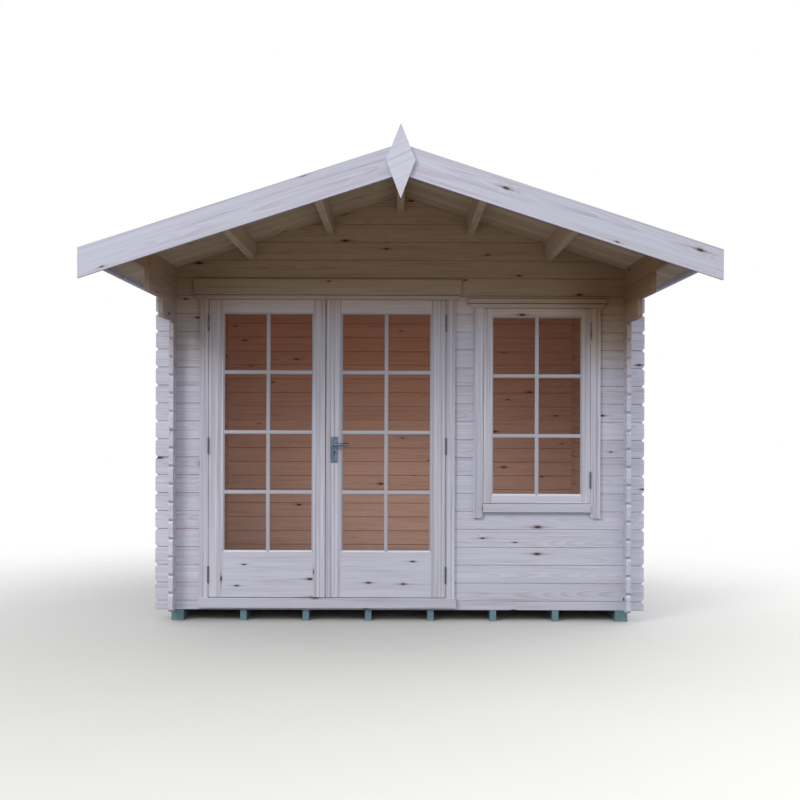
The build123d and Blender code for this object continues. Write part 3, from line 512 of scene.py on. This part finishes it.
def new_piece(name, shape, finishes, body, replaced=()):
    """An object at the origin from a finished bmesh, riding on a body."""
    bmesh.ops.recalc_face_normals(shape, faces=shape.faces)
    mesh = bpy.data.meshes.new(name)
    shape.to_mesh(mesh)
    shape.free()
    for finish in finishes:
        mesh.materials.append(finish)
    made = bpy.data.objects.new(name, mesh)
    bpy.context.scene.collection.objects.link(made)
    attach(made, body)
    if replaced:
        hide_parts(*replaced)
    return made


def add_box(shape, low, high, material=0):
    """Adds a box between two corners and returns its vertices."""
    size = Vector(high) - Vector(low)
    middle = (Vector(high) + Vector(low)) / 2
    stretch = Matrix.Translation(middle) @ Matrix.Diagonal((*size, 1.0))
    made = bmesh.ops.create_cube(shape, size=1.0, matrix=stretch)
    for face in {f for v in made["verts"] for f in v.link_faces}:
        face.material_index = material
    return made["verts"]


def ease(shape, verts, wanted, width, segments=1):
    """Bevels the edges of these vertices for which wanted(middle, direction) is true."""
    edges = []
    for edge in {e for v in verts for e in v.link_edges}:
        middle = (edge.verts[0].co + edge.verts[1].co) / 2
        direction = (edge.verts[1].co - edge.verts[0].co).normalized()
        if wanted(middle, direction):
            edges.append(edge)
    bmesh.ops.bevel(shape, geom=edges, offset=width, offset_type="OFFSET", segments=segments, profile=0.5,
                    affect="EDGES", material=-1, clamp_overlap=True)


def on_slope(low, high, side, make):
    """Pieces made flat from the ridge outwards, laid on one slope and cut plumb at both ends."""
    thickness = (high.z - low.z - (high.x - low.x) * math.tan(PITCH)) * math.cos(PITCH)
    shape = bmesh.new()
    make(shape, (high.x - low.x) / math.cos(PITCH), thickness)
    bmesh.ops.rotate(shape, cent=(0, 0, 0), matrix=Matrix.Rotation(PITCH, 3, "Y"), verts=shape.verts)
    bmesh.ops.translate(shape, vec=(low.x, 0, high.z - thickness / math.cos(PITCH)), verts=shape.verts)
    for place, outward in ((low.x, -1), (high.x, 1)):
        cut = bmesh.ops.bisect_plane(shape, geom=shape.verts[:] + shape.edges[:] + shape.faces[:],
                                     plane_co=(place, 0, 0), plane_no=(outward, 0, 0), clear_outer=True)
        rim = [e for e in cut["geom_cut"] if isinstance(e, bmesh.types.BMEdge)]
        bmesh.ops.holes_fill(shape, edges=rim, sides=0)
    if side < 0:
        bmesh.ops.scale(shape, vec=(-1, 1, 1), verts=shape.verts)
    return shape


def boarded_roof():
    """Boards from ridge to eaves on both slopes, a V in the room's face on every joint."""
    low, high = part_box("roof_boards_right")
    past, half_joint = 0.03, 0.0003
    count = round((high.y - low.y) / ROOF_BOARD)
    width = (high.y - low.y) / count

    def boards(shape, length, thickness):
        for number in range(count):
            start = low.y + number * width
            board = add_box(shape, (-past, start + half_joint, 0.0),
                            (length + past, start + width - half_joint, thickness))
            ease(shape, board, lambda m, d: abs(d.x) > 0.9 and m.z < thickness / 2, 0.003)

    for side, name in ((1, "right"), (-1, "left")):
        new_piece("roof_board_set_" + name, on_slope(low, high, side, boards), [roof_board_wood], "cabin",
                  ["roof_boards_" + name])


def felt_sheets():
    """Two lapped sheets on each slope, a cap over the ridge and nails along every free edge."""
    low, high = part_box("roof_felt")
    low = Vector((0.0002, low.y, low.z))

    def sheets(shape, length, thickness):
        half = thickness / 2
        lap = length - FELT_WIDTH
        for near, far, base in ((lap, length + 0.03, 0.0), (-0.03, lap - 0.004, 0.0),
                                (lap - 0.03, lap + 0.08, half), (-0.03, 0.15, half)):
            sheet = add_box(shape, (near, low.y, base), (far, high.y, base + half))
            ease(shape, sheet, lambda m, d: abs(d.y) > 0.9 and m.z > base + half / 2, 0.0005)

    def nails(shape, length, thickness):
        lap = length - FELT_WIDTH
        for place, base in ((0.125, thickness), (lap + 0.055, thickness), (length - 0.025, thickness / 2)):
            for number in range(36):
                where = (place, low.y + 0.06 + number * (high.y - low.y - 0.12) / 35, base + 0.0002)
                bmesh.ops.create_cone(shape, cap_ends=True, segments=10, radius1=0.005, radius2=0.003,
                                      depth=0.0012, matrix=Matrix.Translation(where))

    for side, name in ((1, "right"), (-1, "left")):
        new_piece("felt_sheet_set_" + name, on_slope(low, high, side, sheets), [felt], "cabin",
                  ["roof_felt"])
        new_piece("felt_nail_set_" + name, on_slope(low, high, side, nails), [hinge_zinc], "cabin")


def boarded_floor():
    """Floor boards across the cabin, their upper edges eased."""
    low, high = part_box("floor")
    count = round((high.y - low.y) / FLOOR_BOARD)
    width = (high.y - low.y) / count
    shape = bmesh.new()
    for number in range(count):
        start = low.y + number * width
        board = add_box(shape, (low.x, start + 0.0004, low.z), (high.x, start + width - 0.0004, high.z))
        ease(shape, board, lambda m, d: abs(d.x) > 0.9 and m.z > low.z + 0.01, 0.0015)
    new_piece("floor_board_set", shape, [floor_wood], "cabin", ["floor"])


def rebate_strips():
    """Thin strips in the rebates of both frames, which narrow the gaps round the leaves."""
    left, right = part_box("left_door_stiles")[0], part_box("right_door_stiles")[1]
    gap, thick = 0.005, 0.0034
    front, back = left.y + 0.0022, right.y - 0.012
    shape = bmesh.new()
    for x0, x1 in ((left.x - gap, left.x - gap + thick), (right.x + gap - thick, right.x + gap)):
        strip = add_box(shape, (x0, front, left.z), (x1, back, right.z))
        ease(shape, strip, lambda m, d: abs(d.z) > 0.9 and abs(m.y - front) < 1e-4, 0.0007, 2)
    strip = add_box(shape, (left.x, front + 0.0045, right.z + gap - thick), (right.x, back, right.z + gap))
    ease(shape, strip, lambda m, d: abs(d.x) > 0.9 and m.y < front + 0.006, 0.0007, 2)
    sash, sash_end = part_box("window_stiles")
    for x0, x1 in ((sash.x - 0.003, sash.x - 0.0012), (sash_end.x + 0.0012, sash_end.x + 0.003)):
        add_box(shape, (x0, front, sash.z), (x1, back, sash_end.z))
    new_piece("rebate_strip_set", shape, [upright_bar_wood], "cabin")


def glazing_bars(leaf, rows, body):
    """Rounded beads round a pane and rounded bars across it, on both faces of the glass."""
    low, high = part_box(leaf + "_glazing_bars")
    glass_low, glass_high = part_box(leaf + "_glass")
    shape = bmesh.new()
    bead, bar, round_off, clear = 0.010, 0.025, 0.007, 0.0003
    upright, level, bottom = 0, 1, 2
    pane_height = (high.z - low.z - 2 * bead - (rows - 1) * bar) / rows
    middle = (low.x + high.x) / 2
    for face, front in ((low.y, True), (high.y, False)):
        glass = glass_low.y - clear if front else glass_high.y + clear
        sunk = face + clear if front else face - clear
        for number, (x0, x1) in enumerate(((low.x, low.x + bead), (middle - bar / 2, middle + bar / 2),
                                           (high.x - bead, high.x))):
            rounded = {0: (x1,), 1: (x0, x1), 2: (x0,)}[number]
            verts = add_box(shape, (x0, min(face, glass), low.z), (x1, max(face, glass), high.z), upright)
            ease(shape, verts, lambda m, d: abs(d.z) > 0.9 and abs(m.y - face) < 1e-4
                 and min(abs(m.x - x) for x in rounded) < 1e-4, round_off, 3)
        levels = [(low.z, low.z + bead), (high.z - bead, high.z)]
        for row in range(1, rows):
            base = low.z + bead + row * pane_height + (row - 1) * bar
            levels.append((base, base + bar))
        for number, (z0, z1) in enumerate(levels):
            rounded = {0: (z1,), 1: (z0,)}.get(number, (z0, z1))
            verts = add_box(shape, (low.x, min(sunk, glass), z0), (high.x, max(sunk, glass), z1),
                            bottom if number == 0 else level)
            ease(shape, verts, lambda m, d: abs(d.x) > 0.9 and abs(m.y - sunk) < 1e-4
                 and min(abs(m.z - z) for z in rounded) < 1e-4, round_off, 3)
    new_piece(leaf + "_bead_and_bar_set", shape, [upright_bar_wood, level_bar_wood, bottom_bead_painted_highlight], body,
              [leaf + "_glazing_bars"])


def sweep(shape, stations, material=0, sides=20):
    """A smooth bar through stations of place, turn about Z, half thickness and half height."""
    before = None
    for number, (place, turn, thick, tall) in enumerate(stations):
        stand = Matrix.Translation(place) @ Matrix.Rotation(turn, 4, "Z") @ Matrix.Rotation(math.pi / 2, 4, "X")
        made = bmesh.ops.create_circle(shape, cap_ends=number in (0, len(stations) - 1), segments=sides,
                                       radius=1.0, matrix=stand @ Matrix.Diagonal((thick, tall, 1.0, 1.0)))
        loop = {edge for vert in made["verts"] for edge in vert.link_edges}
        for face in {face for vert in made["verts"] for face in vert.link_faces}:
            face.material_index = material
        if before:
            for face in bmesh.ops.bridge_loops(shape, edges=list(before | loop))["faces"]:
                face.smooth, face.material_index = True, material
        before = loop


def door_furniture():
    """Rounded plates with their screws and lock barrel, and the lever that turns in them."""
    low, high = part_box("handle_plates")
    lever_low, lever_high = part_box("lever")
    middle = (low.x + high.x) / 2
    height = (lever_low.z + lever_high.z) / 2
    leaf = (low.y + high.y) / 2
    plates, lever = bmesh.new(), bmesh.new()
    for out, face, seat in ((-1, low.y, low.y + 0.006), (1, high.y, high.y - 0.006)):
        plate_face = face - out * 0.0008
        verts = add_box(plates, (low.x, min(plate_face, seat), low.z), (high.x, max(plate_face, seat), high.z))
        ease(plates, verts, lambda m, d: abs(d.y) > 0.9, 0.004, 4)
        rim = [e for f in plates.faces if abs(f.calc_center_median().y - plate_face) < 1e-5 for e in f.edges]
        bmesh.ops.bevel(plates, geom=rim, offset=0.0014, segments=2, profile=0.5, affect="EDGES", material=-1)
        for place in (low.z + 0.011, high.z - 0.011):
            sweep(plates, [((middle, plate_face - out * 0.0005, place), 0.0, 0.0038, 0.0038),
                           ((middle, plate_face + out * 0.0003, place), 0.0, 0.0036, 0.0036),
                           ((middle, plate_face + out * 0.0007, place), 0.0, 0.0022, 0.0022)], 0, 14)
        lock = height - 0.047
        for rise, wide, tall, proud in ((0.0, 0.0085, 0.0085, 0.0008), (-0.013, 0.005, 0.013, 0.0006)):
            sweep(plates, [((middle, plate_face - out * 0.0005, lock + rise), 0.0, wide, tall),
                           ((middle, plate_face + out * proud * 0.6, lock + rise), 0.0, wide, tall),
                           ((middle, plate_face + out * proud, lock + rise), 0.0, wide * 0.9, tall * 0.94)], 1)
        far = (lever_low if out < 0 else lever_high).y
        turn = (lambda t: t) if out < 0 else (lambda t: math.pi - t)
        arm, bend = far - out * 0.0068, 0.011
        knee = arm - out * bend
        stations = [((middle, plate_face - out * 0.0004, height), turn(0.0), 0.0098, 0.0098),
                    ((middle, plate_face + out * 0.003, height), turn(0.0), 0.0095, 0.0095),
                    ((middle, plate_face + out * 0.0045, height), turn(0.0), 0.0078, 0.0078)]
        for step in range(5):
            angle = step * math.pi / 8
            stations.append(((middle + bend - bend * math.cos(angle), knee + out * bend * math.sin(angle), height),
                             turn(angle), 0.0075 - step * 0.0002, 0.0078 + step * 0.0004))
        end = lever_high.x
        for x, back, thick, tall in ((middle + 0.03, 0.0, 0.0064, 0.0096), (middle + 0.05, 0.0004, 0.0060, 0.0098),
                                     (end - 0.018, 0.0016, 0.0056, 0.0092), (end - 0.006, 0.003, 0.0050, 0.0080),
                                     (end - 0.002, 0.0035, 0.0038, 0.0060), (end - 0.0003, 0.0037, 0.0018, 0.0030)):
            stations.append(((x, arm - out * back, height), turn(math.pi / 2), thick, tall))
        sweep(lever, stations)
    spindle = add_box(lever, (middle - 0.004, leaf - 0.0262, height - 0.004),
                      (middle + 0.004, leaf + 0.0262, height + 0.004))
    ease(lever, spindle, lambda m, d: abs(d.y) > 0.9, 0.0006)
    new_piece("door_plate_set", plates, [handle_steel, lock_steel], "right_door", ["handle_plates"])
    new_piece("door_lever", lever, [handle_steel], "lever", ["lever"])


# Camera, light and floor

def camera():
    """Level with the middle of the doors, straight in front, with the photo's small lean."""
    lens = bpy.data.cameras.new("camera")
    lens.lens, lens.sensor_width, lens.shift_y = 50.55, 36, 0.02
    lens.clip_start, lens.clip_end = 0.05, 200
    eye = bpy.data.objects.new("camera", lens)
    eye.location = (0, -7.7615, 1.314)
    eye.rotation_euler = (Matrix.Rotation(math.radians(90), 3, "X") @ Matrix.Rotation(0.0033, 3, "Z")).to_euler()
    bpy.context.scene.collection.objects.link(eye)
    bpy.context.scene.camera = eye


def lamp(name, place, aim, size, power, shown=True):
    """A square lamp turned to what it lights."""
    light = bpy.data.lights.new(name, "AREA")
    light.shape, light.size, light.energy = "SQUARE", size, power
    made = bpy.data.objects.new(name, light)
    made.location = place
    made.rotation_euler = (Vector(aim) - Vector(place)).to_track_quat("-Z", "Y").to_euler()
    made.visible_camera = made.visible_glossy = shown
    bpy.context.scene.collection.objects.link(made)


def light():
    """A soft key from the left front, a fill in the room and a surround brighter overhead."""
    lamp("key", (-5.6, -7.6, 6.2), (0, -0.5, 1.0), 3.0, 290)
    lamp("room_fill", (-0.05, -0.38, 0.8), (0.3, 1.6, 0.1), 0.6, 19, shown=False)
    world = bpy.data.worlds.new("surround")
    bpy.context.scene.world = world
    world.use_nodes = True
    tree = world.node_tree
    tree.nodes.clear()
    rays = tree.nodes.new("ShaderNodeLightPath")
    seen = tree.nodes.new("ShaderNodeMath")
    seen.operation, seen.use_clamp = "ADD", True
    also = tree.nodes.new("ShaderNodeMath")
    also.operation, also.use_clamp = "ADD", True
    tree.links.new(rays.outputs["Is Camera Ray"], seen.inputs[0])
    tree.links.new(rays.outputs["Is Glossy Ray"], seen.inputs[1])
    tree.links.new(seen.outputs[0], also.inputs[0])
    tree.links.new(rays.outputs["Is Transmission Ray"], also.inputs[1])
    plain = tree.nodes.new("ShaderNodeBackground")
    plain.inputs["Color"].default_value = (1, 1, 1, 1)
    way = tree.nodes.new("ShaderNodeTexCoord")
    parts = tree.nodes.new("ShaderNodeSeparateXYZ")
    tree.links.new(way.outputs["Generated"], parts.inputs[0])
    overhead = tree.nodes.new("ShaderNodeMapRange")
    for socket, value in zip(overhead.inputs, (0.0, 0.0, 1.0, 0.72, 1.6)):
        socket.default_value = value
    tree.links.new(parts.outputs[2], overhead.inputs[0])
    tree.links.new(overhead.outputs[0], plain.inputs["Strength"])
    white = tree.nodes.new("ShaderNodeBackground")
    white.inputs["Color"].default_value = (1, 1, 1, 1)
    white.inputs["Strength"].default_value = 1.0
    blend = tree.nodes.new("ShaderNodeMixShader")
    tree.links.new(also.outputs[0], blend.inputs[0])
    tree.links.new(plain.outputs[0], blend.inputs[1])
    tree.links.new(white.outputs[0], blend.inputs[2])
    output = tree.nodes.new("ShaderNodeOutputWorld")
    tree.links.new(blend.outputs[0], output.inputs["Surface"])


def ground():
    """A pale round floor, darker on the left in painted shade, that fades into the white behind."""
    shape = bmesh.new()
    bmesh.ops.create_circle(shape, cap_ends=True, radius=40.0, segments=96)
    mesh = bpy.data.meshes.new("studio_floor")
    shape.to_mesh(mesh)
    shape.free()
    made = bpy.data.objects.new("studio_floor", mesh)
    bpy.context.scene.collection.objects.link(made)
    finish = Finish("studio_floor")
    x, y, z = finish.split(finish.place)
    ahead = finish.math("ADD", y, 1.0)
    away = finish.math("SQRT", finish.math("ADD", finish.math("MULTIPLY", x, x),
                                           finish.math("MULTIPLY", ahead, ahead)))
    mottle = finish.noise(x, y, z, 1.2, 3.0, 0.5)
    # Painted shade: the floor darker on the left than on the right.
    pale = finish.mix(finish.between(x, -2.6, 2.6), linear(192, 192, 191), linear(226, 226, 224))
    pale = finish.mix(finish.math("MULTIPLY", mottle, 0.08), pale, linear(150, 150, 149))
    seen = finish.node("ShaderNodeLightPath").outputs["Is Camera Ray"]
    fade = finish.between(away, 2.2, 5.6, 1.0, 0.0)
    finish.surface(Base_Color=finish.mix(seen, linear(120, 120, 118), pale), Roughness=0.9,
                   Alpha=finish.math("MAXIMUM", fade, finish.math("SUBTRACT", 1.0, seen)),
                   Specular_IOR_Level=0.2)
    mesh.materials.append(finish.material)


def settings():
    """Colours shown as they are written."""
    view = bpy.context.scene.view_settings
    view.view_transform = "Standard"


def plain(box):
    """A box as plain lists, in metres to 0.01 mm."""
    return [[round(value, 5) for value in corner] for corner in box]


settings()
camera()
light()
ground()
dress_nodes()
boarded_roof()
felt_sheets()
boarded_floor()
rebate_strips()
glazing_bars("left_door", 4, "left_door")
glazing_bars("right_door", 4, "right_door")
glazing_bars("window", 3, "cabin")
door_furniture()
